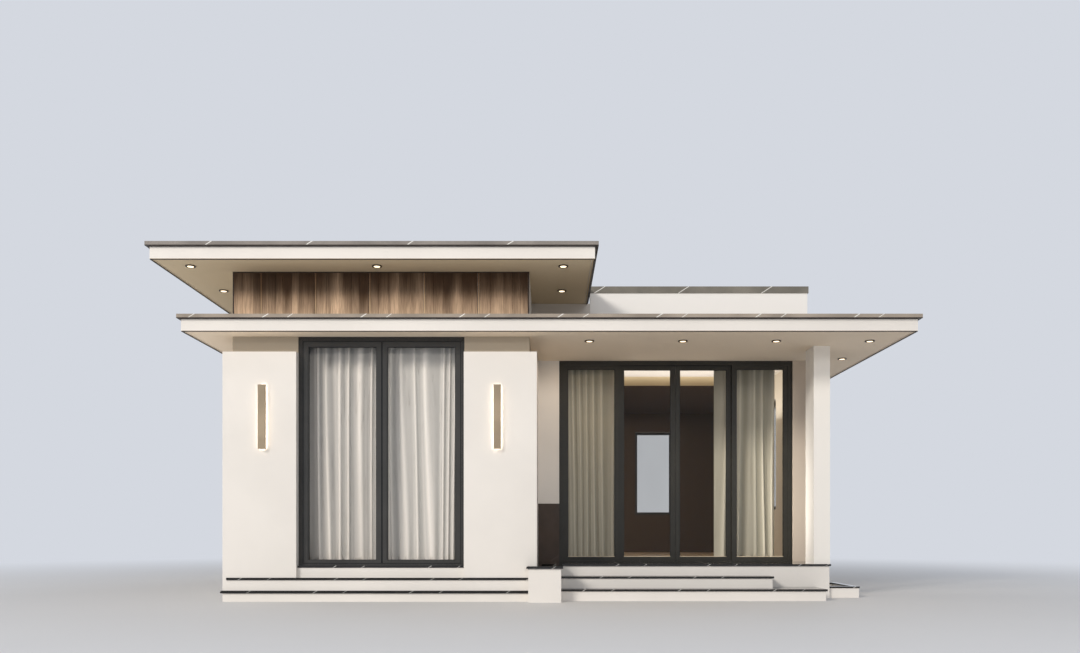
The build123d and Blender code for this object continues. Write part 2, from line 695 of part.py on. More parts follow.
# Downlights of both soffits and the two wall lamps
def make_lamps():
    lights = []
    y = LOWER_ROOF_DEPTH[0] + LOWER_LIGHT_SETBACK
    x = LOWER_ROOF[1] - LOWER_LIGHT_INSET
    while x > PORCH_LEFT:
        lights.append(downlight(x, y, CEILING_LEVEL))
        x -= LOWER_LIGHT_PITCH
    side = LOWER_ROOF[1] - SIDE_LIGHT_INSET
    while y + LOWER_LIGHT_PITCH < REAR:
        y += LOWER_LIGHT_PITCH
        lights.append(downlight(side, y, CEILING_LEVEL))
    y = UPPER_ROOF_DEPTH[0] + UPPER_LIGHT_SETBACK
    left = UPPER_ROOF[0] + UPPER_LIGHT_INSET
    right = UPPER_ROOF[1] - UPPER_LIGHT_INSET
    for x in (left, (left + right) / 2, right):
        lights.append(downlight(x, y, UPPER_SOFFIT))
    y += UPPER_LIGHT_PITCH
    lights.append(downlight(right, y, UPPER_SOFFIT))
    while y < REAR:
        lights.append(downlight(left, y, UPPER_SOFFIT))
        y += UPPER_LIGHT_PITCH
    save("soffit_downlights", *lights)

    lamps = []
    half = LAMP_WIDTH / 2
    foot = (LAMP_FOOT, LAMP_FOOT + LAMP_HEIGHT)
    for x in (WINDOW_SPAN[0] - LAMP_LEFT_FROM_WINDOW, WINDOW_SPAN[1] + LAMP_RIGHT_FROM_WINDOW):
        back = PANEL_FACE - LAMP_STANDOFF
        lamp = block((x - half, x + half), (back - LAMP_BODY, back), foot)
        lamp = fillet(lamp.edges().filter_by(Axis.Z), LAMP_ROUND)
        lamp += block(
            grown((x - half, x + half), -LAMP_BACK_INSET),
            (back, PANEL_FACE),
            grown(foot, -LAMP_BACK_INSET),
        )
        lamps.append(lamp)
    save("wall_lamps", *lamps)


# Curtains and their rails behind the window and the two outer door leaves
def make_curtains():
    rail_z = (CEILING_LEVEL - RAIL_HEIGHT, CEILING_LEVEL)
    cloth_z = (FLOOR_LEVEL + CURTAIN_FOOT, rail_z[0] - SEAT_GAP)
    leaf = (DOOR_WIDTH - 2 * DOOR_BORDER) / 4
    window_y = BLOCK_FRONT + WALL + CURTAIN_FROM_WALL
    door_y = DOOR_PLANE + WALL + CURTAIN_FROM_WALL
    middle = sum(WINDOW_SPAN) / 2
    left_half = (WINDOW_SPAN[0] + CURTAIN_GAP, middle - CURTAIN_GAP)
    door_left = (DOOR_SPAN[0] + CURTAIN_GAP, DOOR_SPAN[0] + DOOR_BORDER + leaf)
    door_edge = DOOR_SPAN[1] - DOOR_CURTAIN_FROM_SIDE
    cloths = [
        (left_half, window_y),
        (mirrored(left_half, middle), window_y),
        (door_left, door_y),
        ((door_edge - DOOR_CURTAIN, door_edge), door_y),
    ]
    save("curtains", *[block(x, (y, y + CURTAIN), cloth_z) for x, y in cloths])
    rails = []
    for span, y in ((WINDOW_SPAN, window_y), (DOOR_SPAN, door_y)):
        centre = y + CURTAIN / 2
        rails.append(block(span, (centre - RAIL_DEPTH / 2, centre + RAIL_DEPTH / 2), rail_z))
    save("curtain_rails", *rails)


os.makedirs("parts", exist_ok=True)
make_base()
make_walls()
make_panels()
make_window()
make_door()
make_sills(make_side_windows())
make_porch()
make_planters()
make_lower_roof()
make_upper_roof()
make_clerestory()
make_parapet()
make_lamps()
make_curtains()
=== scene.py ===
"""Looks of a bungalow: finishes, wood boards, gaskets, curtains and lamps round the fixed frame.

Lengths are metres in the frame's own axes: X runs to the right, Y to the back and Z up from
the ground. Colours are written as display values from 0 to 255.
"""

import json
import logging
import math
import random
from dataclasses import dataclass
from enum import Enum, IntEnum
from functools import cache

import bmesh
import bpy
from mathutils import Matrix, Vector, noise


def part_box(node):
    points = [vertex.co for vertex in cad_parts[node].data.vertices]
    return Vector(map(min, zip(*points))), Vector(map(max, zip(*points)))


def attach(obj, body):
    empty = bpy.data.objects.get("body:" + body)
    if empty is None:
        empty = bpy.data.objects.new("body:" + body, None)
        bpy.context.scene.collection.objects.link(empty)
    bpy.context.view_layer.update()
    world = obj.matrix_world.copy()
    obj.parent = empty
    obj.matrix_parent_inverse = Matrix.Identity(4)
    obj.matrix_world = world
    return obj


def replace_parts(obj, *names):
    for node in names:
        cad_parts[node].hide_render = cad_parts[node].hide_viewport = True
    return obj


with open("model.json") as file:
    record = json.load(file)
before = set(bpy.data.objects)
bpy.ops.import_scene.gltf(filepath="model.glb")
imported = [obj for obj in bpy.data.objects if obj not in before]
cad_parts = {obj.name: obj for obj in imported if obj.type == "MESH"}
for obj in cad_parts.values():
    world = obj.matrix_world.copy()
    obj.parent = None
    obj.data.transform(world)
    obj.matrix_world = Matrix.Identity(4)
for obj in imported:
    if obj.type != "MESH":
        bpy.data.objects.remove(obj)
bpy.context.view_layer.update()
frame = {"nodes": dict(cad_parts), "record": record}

log = logging.getLogger("bungalow")

Colour = tuple[float, float, float]
Point = tuple[float, float, float]
Span = tuple[float, float]
Corners = tuple[Vector, Vector]
Socket = bpy.types.NodeSocket
Number = float | Socket

TONE = "tone"
NOISE_SPAN: Span = (0.3, 0.7)


class Body(Enum):
    """Bodies of the frame that a piece can ride on."""

    HOUSE = "house"
    LEAF_LEFT = "door_leaf_left"
    LEAF_RIGHT = "door_leaf_right"


class Slot(Enum):
    """Material slots of the record."""

    RENDER = "white_render"
    STONE = "dark_stone"
    TILE = "floor_tile"
    SCREED = "roof_screed"
    FRAME = "anthracite_frame"
    GLASS = "clear_glass"
    WOOD = "wood_boards"
    LAMP = "lamp_bronze"
    TRIM = "light_trim"
    CLOTH = "curtain_cloth"
    RAIL = "rail_metal"


class Axis(IntEnum):
    """Directions of the frame, by their place in a point."""

    X = 0
    Y = 1
    Z = 2


def linear(colour: Colour) -> tuple[float, float, float, float]:
    """Turn a display colour into the scene's linear colour.

    Args:
        colour: Red, green and blue from 0 to 255.

    Returns:
        Red, green, blue and alpha for a colour socket.
    """
    parts = [part / 255 for part in colour]
    curved = [p / 12.92 if p <= 0.04045 else ((p + 0.055) / 1.055) ** 2.4 for p in parts]
    return (curved[0], curved[1], curved[2], 1.0)


def scaled(colour: Colour, share: float) -> Colour:
    """Return a display colour made darker or paler by one factor."""
    return (colour[0] * share, colour[1] * share, colour[2] * share)


def solid_boxes(node: str) -> list[Corners]:
    """Find the separate solids of a CAD node.

    Args:
        node: Name of the node.

    Returns:
        Lowest and highest corner of each solid, from left to right.
    """
    copy = bmesh.new()
    copy.from_mesh(frame["nodes"][node].data)
    bmesh.ops.remove_doubles(copy, verts=copy.verts, dist=1e-5)
    unseen = set(copy.verts)
    boxes = []
    while unseen:
        waiting = [unseen.pop()]
        found = []
        while waiting:
            vertex = waiting.pop()
            found.append(vertex.co.copy())
            fresh = {edge.other_vert(vertex) for edge in vertex.link_edges} & unseen
            unseen -= fresh
            waiting.extend(fresh)
        low = Vector([min(point[axis] for point in found) for axis in Axis])
        high = Vector([max(point[axis] for point in found) for axis in Axis])
        boxes.append((low, high))
    copy.free()
    return sorted(boxes, key=lambda box: (round(box[0].x, 4), round(box[0].y, 4)))


def placed(name: str, data: bpy.types.ID) -> bpy.types.Object:
    """Put a new object into the scene."""
    made = bpy.data.objects.new(name, data)
    bpy.context.scene.collection.objects.link(made)
    return made


@dataclass(frozen=True)
class Grain:
    """Soft noise: blotches a metre, layers of finer noise, the span in use, and the stretch."""

    scale: float
    detail: float = 3.0
    span: Span = NOISE_SPAN
    stretch: Point = (1.0, 1.0, 1.0)


@dataclass(frozen=True)
class Shades:
    """Change of a colour along a grain, from one factor to another."""

    grain: Grain
    low: float
    high: float = 1.0


@dataclass(frozen=True)
class Stain:
    """Second colour that a grain lays over a first one: its largest share and its factor."""

    grain: Grain
    share: float
    factor: float = 1.0


@dataclass(frozen=True)
class Bump:
    """Depth and strength of a relief."""

    depth: float
    strength: float = 0.5


Reliefs = tuple[tuple[Grain, Bump], ...]


class Tree:
    """Node tree, with short ways to add and join its nodes."""

    def __init__(self, tree: bpy.types.NodeTree) -> None:
        """Take the nodes and the links of a tree."""
        self.nodes = tree.nodes
        self.links = tree.links

    def add(self, kind: str) -> bpy.types.Node:
        """Add one shader node of a kind."""
        return self.nodes.new(f"ShaderNode{kind}")

    def put(self, value: Number, socket: Socket) -> None:
        """Set a socket to a number, or link it to another socket."""
        if isinstance(value, Socket):
            self.links.new(value, socket)
        else:
            socket.default_value = value

    def math(self, operation: str, first: Number, second: Number = 0.0) -> Socket:
        """Add one arithmetic step.

        Args:
            operation: Name of the operation, as the node calls it.
            first: First number or socket.
            second: Second number or socket, where the operation has one.

        Returns:
            Socket of the result.
        """
        node = self.add("Math")
        node.operation = operation
        self.put(first, node.inputs[0])
        self.put(second, node.inputs[1])
        return node.outputs[0]

    def choose(self, share: Socket, first: Socket, second: Socket, output: Socket) -> None:
        """Show the first shader where the share is 0, and the second where it is 1."""
        either = self.add("MixShader")
        for value, socket in zip((share, first, second), either.inputs):
            self.links.new(value, socket)
        self.links.new(either.outputs[0], output)

    def seen_directly(self) -> Socket:
        """Return 1 for camera rays and for what metal and glass show, else 0."""
        path = self.add("LightPath")
        seen = path.outputs["Is Camera Ray"]
        for name in ("Is Glossy Ray", "Is Transmission Ray"):
            seen = self.math("MAXIMUM", seen, path.outputs[name])
        return seen


class Recipe(Tree):
    """Node tree of one material, laid out in Object coordinates."""

    def __init__(self, name: str) -> None:
        """Start a material with its surface shader and its Object coordinates."""
        self.material = bpy.data.materials.new(name)
        self.material.use_nodes = True
        super().__init__(self.material.node_tree)
        self.shader = self.nodes["Principled BSDF"]
        self.surface = self.nodes["Material Output"].inputs["Surface"]
        self.place = self.add("TexCoord").outputs["Object"]
        self.axes = self.add("SeparateXYZ")
        self.links.new(self.place, self.axes.inputs[0])

    def set(self, name: str, value: float) -> None:
        """Set one socket of the surface shader to a plain number."""
        self.shader.inputs[name].default_value = value

    def along(self, axis: Axis) -> Socket:
        """Return one Object coordinate."""
        return self.axes.outputs[axis]

    def tone(self) -> Socket:
        """Return the tone that the points of the piece carry: a random tone on boards, painted light
        and shade on curtains.
        """
        node = self.add("Attribute")
        node.attribute_name = TONE
        return node.outputs["Fac"]

    def noise(self, grain: Grain) -> Socket:
        """Add the soft noise of a grain, about 0.5 on average."""
        mapping = self.add("Mapping")
        mapping.inputs["Scale"].default_value = grain.stretch
        self.links.new(self.place, mapping.inputs["Vector"])
        node = self.add("TexNoise")
        node.inputs["Scale"].default_value = grain.scale
        node.inputs["Detail"].default_value = grain.detail
        self.links.new(mapping.outputs["Vector"], node.inputs["Vector"])
        return node.outputs["Fac"]

    def between(self, value: Number, source: Span, target: Span = (0.0, 1.0)) -> Socket:
        """Map a value from one span to another, held at the ends."""
        node = self.add("MapRange")
        node.interpolation_type = "SMOOTHSTEP"
        self.put(value, node.inputs["Value"])
        node.inputs["From Min"].default_value, node.inputs["From Max"].default_value = source
        node.inputs["To Min"].default_value, node.inputs["To Max"].default_value = target
        return node.outputs["Result"]

    def cloud(self, grain: Grain) -> Socket:
        """Return a grain's noise, spread so that it runs from 0 to 1."""
        return self.between(self.noise(grain), grain.span)

    def mix(self, share: Number, first: Colour | Socket, second: Colour | Socket) -> Socket:
        """Blend two colours.

        Args:
            share: 0 for the first colour and 1 for the second.
            first: Display colour or socket.
            second: Display colour or socket.

        Returns:
            Socket of the blended colour.
        """
        node = self.add("Mix")
        node.data_type = "RGBA"
        self.put(share, node.inputs[0])
        for value, socket in ((first, node.inputs[6]), (second, node.inputs[7])):
            self.put(value if isinstance(value, Socket) else linear(value), socket)
        return node.outputs[2]

    def shaded(self, colour: Colour, shades: Shades) -> Socket:
        """Return a colour with its shades."""
        low, high = scaled(colour, shades.low), scaled(colour, shades.high)
        return self.mix(self.cloud(shades.grain), low, high)

    def stained(self, base: Socket, stain: Stain, colour: Colour) -> Socket:
        """Lay a stain of one colour over another colour."""
        share = self.math("MULTIPLY", self.cloud(stain.grain), stain.share)
        return self.mix(share, base, scaled(colour, stain.factor))

    def lines(self, value: Socket, pitch: float, start: float, half: float) -> Socket:
        """Draw thin lines at an even pitch along a value.

        Args:
            value: Coordinate that the lines cross.
            pitch: Distance from one line to the next.
            start: Place of one line.
            half: Half the width of a line.

        Returns:
            Socket that is 1 on a line and 0 off it.
        """
        shifted = self.math("SUBTRACT", value, start - pitch / 2)
        within = self.math("FLOORED_MODULO", shifted, pitch)
        away = self.math("ABSOLUTE", self.math("SUBTRACT", within, pitch / 2))
        return self.between(away, (half * 1.3, half * 0.7))

    def inside(self, low: Point, high: Point) -> Socket:
        """Return 1 inside a box of Object coordinates and 0 outside it."""
        mask: Number = 1.0
        for axis in Axis:
            middle = (low[axis] + high[axis]) / 2
            half = (high[axis] - low[axis]) / 2
            away = self.math("ABSOLUTE", self.math("SUBTRACT", self.along(axis), middle))
            mask = self.math("MULTIPLY", mask, self.math("LESS_THAN", away, half))
        return mask

    def relief(self, height: Socket, bump: Bump) -> None:
        """Lay a relief over the surface, on top of any that is there."""
        node = self.add("Bump")
        node.inputs["Strength"].default_value = bump.strength
        node.inputs["Distance"].default_value = bump.depth
        self.links.new(height, node.inputs["Height"])
        normal = self.shader.inputs["Normal"]
        if normal.is_linked:
            self.links.new(normal.links[0].from_socket, node.inputs["Normal"])
        self.links.new(node.outputs["Normal"], normal)

    def colour(self, value: Socket) -> None:
        """Give the surface its colour."""
        self.links.new(value, self.shader.inputs["Base Color"])

    def roughness(self, value: Socket, target: Span, source: Span = NOISE_SPAN) -> None:
        """Give the surface a roughness that runs along a value."""
        self.links.new(self.between(value, source, target), self.shader.inputs["Roughness"])


@dataclass(frozen=True)
class Finish:
    """Finish of a surface, which becomes one material."""

    name: str

    def lay(self, recipe: Recipe) -> None:
        """Lay the finish on."""
        raise NotImplementedError(self.name)

    @cache
    def material(self) -> bpy.types.Material:
        """Return the material, which equal finishes share."""
        recipe = Recipe(self.name)
        self.lay(recipe)
        return recipe.material


@dataclass(frozen=True)
class Coat(Finish):
    """Finish with shades in its colour, wear in its gloss, and layers of relief."""

    colour: Colour
    shades: Shades
    wear: Grain
    gloss: Span
    reliefs: Reliefs
    specks: Stain | None = None
    specular: float = 0.5
    metal: float = 0.0

    def look(self, recipe: Recipe) -> Socket:
        """Return the colour of the surface, with its shades and its specks."""
        coat = recipe.shaded(self.colour, self.shades)
        return recipe.stained(coat, self.specks, self.colour) if self.specks else coat

    def lay(self, recipe: Recipe) -> None:
        """Lay the finish on."""
        recipe.colour(self.look(recipe))
        recipe.roughness(recipe.noise(self.wear), self.gloss)
        for grain, bump in self.reliefs:
            recipe.relief(recipe.noise(grain), bump)
        recipe.set("Specular IOR Level", self.specular)
        recipe.set("Metallic", self.metal)


SCREED = Coat(
    "screed", (168, 164, 157), Shades(Grain(0.7, 5.0, (0.35, 0.7)), 1.0, 0.84),
    wear=Grain(5.0), gloss=(0.75, 0.95), reliefs=((Grain(220.0), Bump(0.0008, 0.6)),),
    specks=Stain(Grain(180.0, 2.0, (0.4, 0.6)), 0.2, 0.75),
)


@dataclass(frozen=True)
class Patch:
    """Box of the house in which the render has its own colour, or bare screed without one; most of
    these colours are painted light or shade.
    """

    low: Point
    high: Point
    colour: Colour | None = None


@dataclass(frozen=True)
class RenderCoat(Coat):
    """Fine painted render, with patches of bare screed and of other colours, most of which are
    painted light or shade.
    """

    name: str = "render_coat"
    colour: Colour = (238, 233, 226)
    shades: Shades = Shades(Grain(0.8), 0.975)
    wear: Grain = Grain(6.0)
    gloss: Span = (0.78, 0.92)
    reliefs: Reliefs = (
        (Grain(9.0, 2.0), Bump(0.0012)), (Grain(520.0, 2.0), Bump(0.0004, 0.6)),
    )
    specular: float = 0.3
    patches: tuple[Patch, ...] = ()

    def look(self, recipe: Recipe) -> Socket:
        """Return the colour of the paint, with its patches of painted light and shade and of screed.
        """
        coat = super().look(recipe)
        screed = SCREED.look(recipe)
        for patch in self.patches:
            paint = screed if patch.colour is None else patch.colour
            coat = recipe.mix(recipe.inside(patch.low, patch.high), coat, paint)
        return coat


@dataclass(frozen=True)
class VeinedStone(Coat):
    """Stone slabs, crossed by thin pale veins that repeat from slab to slab."""

    shades: Shades = Shades(Grain(1.7, 4.0), 0.86, 1.06)
    wear: Grain = Grain(9.0)
    gloss: Span = (0.45, 0.6)
    reliefs: Reliefs = ((Grain(60.0), Bump(0.0004)),)
    specks: Stain = Stain(Grain(150.0, 2.0, (0.35, 0.65)), 0.22, 0.7)
    vein: Colour = (240, 238, 232)
    vein_share: float = 0.95
    pitch: float = 1.393
    first: float = -3.837
    second: float = 0.353
    level: float = 4.065
    lean: float = 1.55
    half: float = 0.011
    second_half: float = 0.7
    wander: Grain = Grain(3.0)
    wander_width: float = 0.05
    # Level of a dark band at the stone's foot, painted shade of the shadow line under the cap; 0 for
    # none.
    dark_line: float = 0.0
    shade_line_height: float = 0.01
    shade_line_colour: Colour = (46, 38, 33)

    def veins(self, recipe: Recipe) -> Socket:
        """Return 1 on the veins and 0 off them."""
        height = recipe.math("SUBTRACT", recipe.along(Axis.Z), self.level)
        rise = recipe.math("MULTIPLY", height, -self.lean)
        wander = recipe.math("MULTIPLY", recipe.noise(self.wander), self.wander_width)
        across = recipe.math("ADD", recipe.math("ADD", recipe.along(Axis.X), rise), wander)
        veins = recipe.lines(across, self.pitch, self.first, self.half)
        if self.second:
            start = self.first + self.second
            other = recipe.lines(across, self.pitch, start, self.half * self.second_half)
            veins = recipe.math("MAXIMUM", veins, other)
        return veins

    def look(self, recipe: Recipe) -> Socket:
        """Return the colour of the stone, with its veins and the painted shade of a dark band at its
        foot.
        """
        veins = recipe.math("MULTIPLY", self.veins(recipe), self.vein_share)
        stone = recipe.mix(veins, super().look(recipe), self.vein)
        # Painted shade: a dark band along the stone's foot.
        if self.dark_line:
            below = recipe.math("LESS_THAN", recipe.along(Axis.Z), self.dark_line + self.shade_line_height)
            stone = recipe.mix(below, stone, self.shade_line_colour)
        return stone


@dataclass(frozen=True)
class PowderCoat(Coat):
    """Powder-coated aluminium with a little dust and a fine even grain."""

    shades: Shades = Shades(Grain(2.2, 4.0, (0.35, 0.7)), 1.0, 1.12)
    wear: Grain = Grain(14.0)
    gloss: Span = (0.34, 0.46)
    reliefs: Reliefs = ((Grain(900.0, 1.0), Bump(0.00012)),)


@dataclass(frozen=True)
class OiledBoards(Finish):
    """Dark oiled boards with upright grain, paler towards their foot and darker towards their head,
    which is painted shade under the roof.
    """

    name: str = "oiled_boards"
    pale: Colour = (246, 212, 178)
    dark: Colour = (66, 45, 27)
    smoke: Colour = (45, 32, 22)
    # Foot and head of the painted shade, which darkens the boards towards their head.
    rise: Span = (3.975, 4.785)
    drift: Grain = Grain(1.0, 2.0, stretch=(6.5, 1.0, 0.3))
    drift_middle: float = 0.47
    drift_size: float = 1.15
    tone_middle: float = 0.5
    shade: Span = (-0.4, 1.15)
    blotches: Stain = Stain(Grain(1.0, 2.0, (0.42, 0.78), (9.0, 1.0, 0.7)), 0.36)
    fibres: Stain = Stain(Grain(1.0, 5.0, (0.42, 0.62), (160.0, 160.0, 5.0)), 0.35, 0.7)
    fibre_bump: Bump = Bump(0.0008, 0.6)

    def lay(self, recipe: Recipe) -> None:
        """Lay the finish on."""
        cloud = recipe.math("SUBTRACT", recipe.noise(self.drift), self.drift_middle)
        drift = recipe.math("MULTIPLY", cloud, self.drift_size)
        # Painted shade: the colour runs from pale at the foot to dark at the head, shifted by the
        # drift and the board's tone.
        height = recipe.between(recipe.along(Axis.Z), self.rise)
        tone = recipe.math("SUBTRACT", recipe.tone(), self.tone_middle)
        shade = recipe.math("ADD", recipe.math("ADD", height, drift), tone)
        wood = recipe.mix(recipe.between(shade, self.shade), self.pale, self.dark)
        wood = recipe.stained(wood, self.blotches, self.smoke)
        recipe.colour(recipe.stained(wood, self.fibres, self.dark))
        fibres = recipe.noise(self.fibres.grain)
        recipe.roughness(fibres, (0.42, 0.62), (0.35, 0.65))
        recipe.relief(fibres, self.fibre_bump)
        recipe.set("Specular IOR Level", 0.25)


@dataclass(frozen=True)
class BrushedMetal(Finish):
    """Satin metal brushed along the length of the piece."""

    colour: Colour
    gloss: Span = (0.32, 0.47)
    brushed: float = 0.88
    brush: Grain = Grain(1.0, stretch=(18.0, 700.0, 700.0))
    brush_bump: Bump = Bump(0.0001)

    def lay(self, recipe: Recipe) -> None:
        """Lay the finish on."""
        brush = recipe.noise(self.brush)
        recipe.colour(recipe.mix(brush, scaled(self.colour, self.brushed), self.colour))
        recipe.roughness(brush, self.gloss)
        recipe.relief(brush, self.brush_bump)
        recipe.set("Metallic", 0.85)


@dataclass(frozen=True)
class Glazing(Finish):
    """Clear coated glass with a weak mirror image, which lets lamps through."""

    name: str = "glazing"
    tint: Colour = (252, 251, 250)
    index: float = 1.2
    wipes: Shades = Shades(Grain(1.1, 4.0, (0.4, 0.7), (1.0, 1.0, 0.4)), 1.0, 0.985)

    def lay(self, recipe: Recipe) -> None:
        """Lay the finish on."""
        recipe.colour(recipe.shaded(self.tint, self.wipes))
        recipe.set("Roughness", 0.0)
        recipe.set("Transmission Weight", 1.0)
        recipe.set("IOR", self.index)
        through = recipe.add("BsdfTransparent")
        through.inputs["Color"].default_value = linear(self.tint)
        shadow = recipe.add("LightPath").outputs["Is Shadow Ray"]
        recipe.choose(shadow, recipe.shader.outputs[0], through.outputs[0], recipe.surface)


@dataclass(frozen=True)
class SheerCloth(Finish):
    """Thin woven voile with slubs along its threads, with painted shade in the valleys of its folds.
    """

    name: str = "sheer_cloth"
    colour: Colour = (252, 247, 239)
    valley_shade: Colour = (162, 161, 158)
    slubs: Stain = Stain(Grain(1.0, 3.0, (0.35, 0.65), (240.0, 240.0, 9.0)), 0.08)
    weft: Grain = Grain(1.0, 1.0, stretch=(60.0, 60.0, 900.0))
    warp: Grain = Grain(1.0, 1.0, stretch=(900.0, 900.0, 60.0))
    weave_bump: Bump = Bump(0.0003, 0.4)

    def lay(self, recipe: Recipe) -> None:
        """Lay the finish on."""
        # Painted shade: the cloth darkens towards the valley colour where the folds' tone is low.
        cloth = recipe.mix(recipe.tone(), self.valley_shade, self.colour)
        recipe.colour(recipe.stained(cloth, self.slubs, self.valley_shade))
        weave = recipe.math("ADD", recipe.noise(self.weft), recipe.noise(self.warp))
        recipe.relief(weave, self.weave_bump)
        recipe.set("Roughness", 0.95)
        recipe.set("Specular IOR Level", 0.15)
        recipe.set("Sheen Weight", 0.2)


@dataclass(frozen=True)
class FloorTiles(Finish):
    """Satin floor tiles in a square grid with darker joints."""

    name: str = "floor_tiles"
    colour: Colour = (176, 150, 118)
    shades: Shades = Shades(Grain(2.4, 5.0), 0.9)
    dark_line: Colour = (120, 106, 90)
    pitch: float = 0.6
    half_joint: float = 0.002
    joint_bump: Bump = Bump(0.001, 0.6)

    def lay(self, recipe: Recipe) -> None:
        """Lay the finish on."""
        grid = [
            recipe.lines(recipe.along(axis), self.pitch, 0.0, self.half_joint)
            for axis in (Axis.X, Axis.Y)
        ]
        joints = recipe.math("MAXIMUM", *grid)
        tile = recipe.shaded(self.colour, self.shades)
        recipe.colour(recipe.mix(joints, tile, self.dark_line))
        recipe.roughness(joints, (0.3, 0.8), (0.0, 1.0))
        recipe.relief(recipe.math("SUBTRACT", 1.0, joints), self.joint_bump)


@dataclass(frozen=True)
class Rubber(Finish):
    """Black sealing rubber, a little dusty."""

    name: str = "sealing_rubber"
    colour: Colour = (18, 18, 19)
    dust: Shades = Shades(Grain(12.0, 3.0, (0.45, 0.75)), 1.0, 1.5)
    grit: Grain = Grain(400.0)
    grit_bump: Bump = Bump(0.0001)

    def lay(self, recipe: Recipe) -> None:
        """Lay the finish on."""
        recipe.colour(recipe.shaded(self.colour, self.dust))
        recipe.roughness(recipe.cloud(self.dust.grain), (0.6, 0.8), (0.0, 1.0))
        recipe.relief(recipe.noise(self.grit), self.grit_bump)


@dataclass(frozen=True)
class Glow(Finish):
    """Opal plastic lit from behind."""

    colour: Colour
    strength: float
    shades: Shades = Shades(Grain(30.0, 2.0), 0.97)

    def lay(self, recipe: Recipe) -> None:
        """Lay the finish on."""
        opal = recipe.shaded(self.colour, self.shades)
        recipe.colour(opal)
        recipe.links.new(opal, recipe.shader.inputs["Emission Color"])
        recipe.set("Emission Strength", self.strength)
        recipe.set("Roughness", 0.5)


class Shape:
    """Mesh of a new piece while it is modelled."""

    def __init__(self) -> None:
        """Start with an empty mesh."""
        self.mesh = bmesh.new()

    def block(self, x: Span, y: Span, z: Span, bevel: float) -> list[bmesh.types.BMVert]:
        """Add a block between the low and high values of each axis.

        Args:
            x: Left and right side.
            y: Front and back.
            z: Foot and head.
            bevel: Width of the softened edges.

        Returns:
            Vertices of the block.
        """
        before = set(self.mesh.verts)
        made = bmesh.ops.create_cube(self.mesh, size=1.0)["verts"]
        size = Vector([high - low for low, high in (x, y, z)])
        middle = Vector([(high + low) / 2 for low, high in (x, y, z)])
        bmesh.ops.scale(self.mesh, vec=size, verts=made)
        bmesh.ops.translate(self.mesh, vec=middle, verts=made)
        self.soften(list({edge for vertex in made for edge in vertex.link_edges}), bevel)
        return [vertex for vertex in self.mesh.verts if vertex not in before]

    def soften(self, edges: list[bmesh.types.BMEdge], width: float, segments: int = 1) -> None:
        """Bevel some edges."""
        bmesh.ops.bevel(
            self.mesh, geom=edges, offset=width, segments=segments, profile=0.5,
            affect="EDGES", material=-1,
        )

    def ring(self, low: Vector, high: Vector, thin: Axis, width: float) -> None:
        """Add a flat four-sided frame with mitred corners.

        Args:
            low: Lowest corner of the frame.
            high: Highest corner of the frame.
            thin: Axis along which the frame has its depth.
            width: Width of its sides, inwards from the corners.
        """
        along, up = [axis for axis in Axis if axis is not thin]
        loops = []
        for inset in (0.0, width):
            near = (low[along] + inset, high[along] - inset)
            tall = (low[up] + inset, high[up] - inset)
            corners = []
            for across, rise in ((0, 0), (1, 0), (1, 1), (0, 1)):
                point = low.copy()
                point[along], point[up] = near[across], tall[rise]
                corners.append(self.mesh.verts.new(point))
            loops += [self.mesh.edges.new((corners[n], corners[(n + 1) % 4])) for n in range(4)]
        faces = bmesh.ops.bridge_loops(self.mesh, edges=loops)["faces"]
        made = bmesh.ops.extrude_face_region(self.mesh, geom=faces)["geom"]
        depth = Vector((0.0, 0.0, 0.0))
        depth[thin] = high[thin] - low[thin]
        moved = [part for part in made if isinstance(part, bmesh.types.BMVert)]
        bmesh.ops.translate(self.mesh, vec=depth, verts=moved)

    def disc(self, centre: Point, radius: float, depth: float, bevel: float) -> None:
        """Add a flat disc that faces down, with its lower edge rounded."""
        made = bmesh.ops.create_cone(
            self.mesh, cap_ends=True, segments=28, radius1=radius, radius2=radius, depth=depth,
            matrix=Matrix.Translation(centre),
        )["verts"]
        edges = {edge for vertex in made for edge in vertex.link_edges}
        rim = [edge for edge in edges if all(vertex.co.z < centre[2] for vertex in edge.verts)]
        self.soften(rim, bevel, 3)

    def made(self, name: str, material: bpy.types.Material) -> bpy.types.Object:
        """Turn the mesh into an object with one material."""
        data = bpy.data.meshes.new(name)
        self.mesh.to_mesh(data)
        self.mesh.free()
        data.materials.append(material)
        return placed(name, data)

    def piece(
        self, name: str, finish: Finish, slot: Slot, body: Body = Body.HOUSE,
    ) -> bpy.types.Object:
        """Turn the mesh into a piece that rides on a body.

        Args:
            name: Name of the piece.
            finish: Its finish.
            slot: Material slot of the record that it stands for; not used.
            body: Body that it moves with.

        Returns:
            The finished object.
        """
        bmesh.ops.recalc_face_normals(self.mesh, faces=self.mesh.faces)
        made = self.made(name, finish.material())
        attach(made, body.value)
        log.info("%s: %d faces on %s", name, len(made.data.polygons), body.value)
        return made


